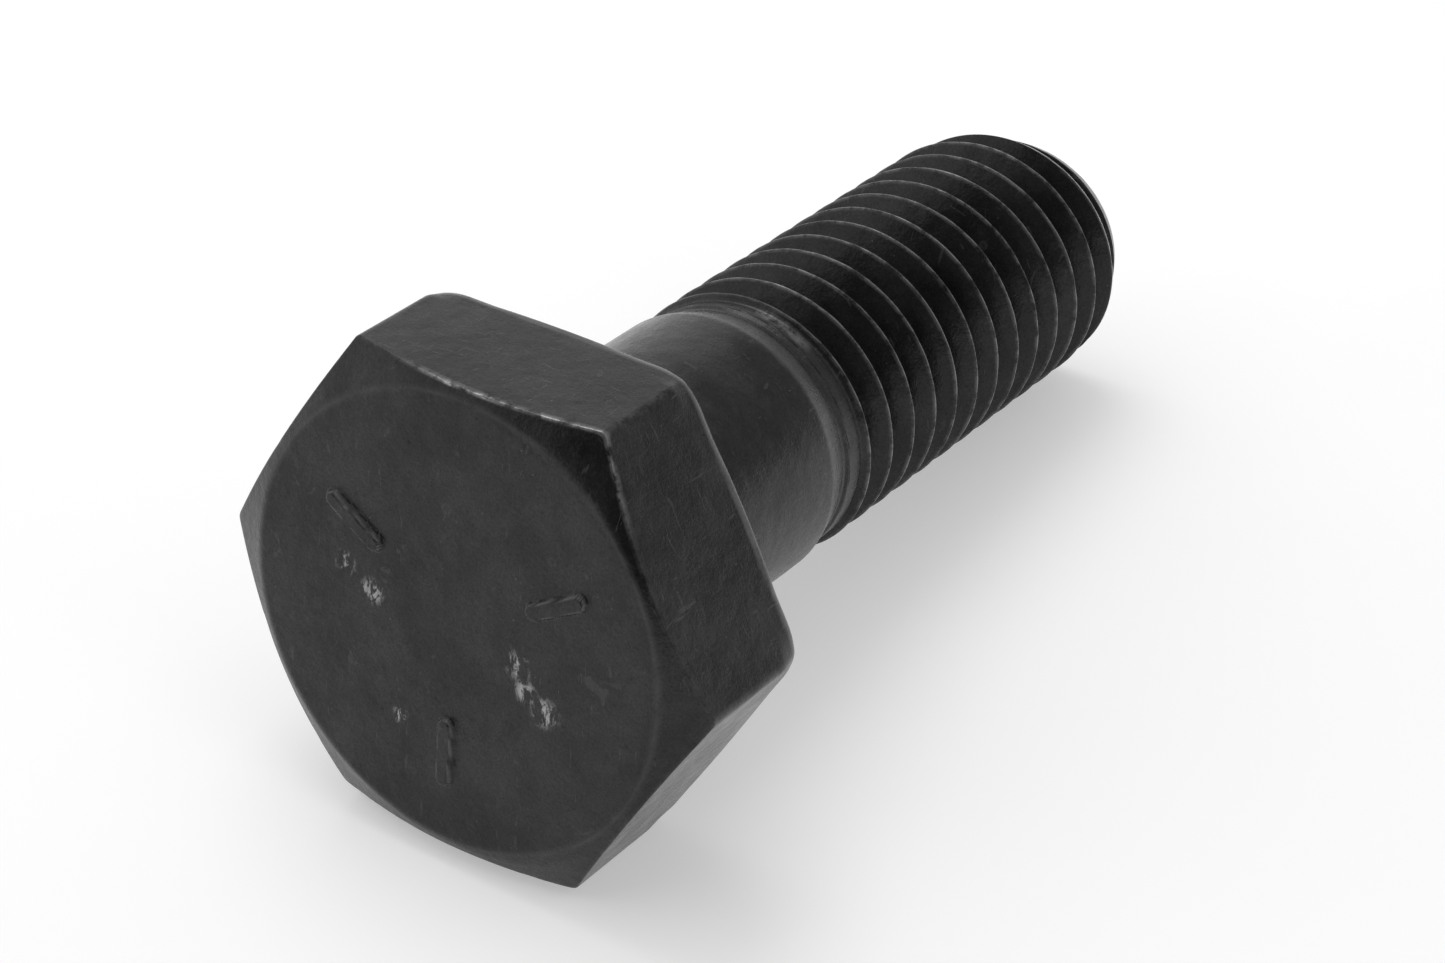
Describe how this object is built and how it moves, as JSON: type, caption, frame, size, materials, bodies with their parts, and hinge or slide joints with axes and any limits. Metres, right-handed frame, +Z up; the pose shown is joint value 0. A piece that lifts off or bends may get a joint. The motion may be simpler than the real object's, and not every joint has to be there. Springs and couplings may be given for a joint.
{
  "type": "heavy hex structural bolt",
  "caption": "Partly threaded heavy hex bolt in dark oiled steel, 5/8-11 UNC by 2 in, with a chamfered head, plain shank and raised radial bars on the head.",
  "frame": {"origin": "centre of the bearing face under the head, on the bolt's axis", "axes": "+Y along the bolt's axis from the head to the threaded point, +Z square to one wrench flat, +X to the right when looking at the head's outer face with +Z up"},
  "size_m": [0.0304, 0.0579, 0.0264],
  "materials": {
    "dark_steel": "satin"
  },
  "bodies": {
    "root": {"hex_head": "dark_steel", "shank": "dark_steel", "threaded_end": "dark_steel"}
  },
  "joints": []
}
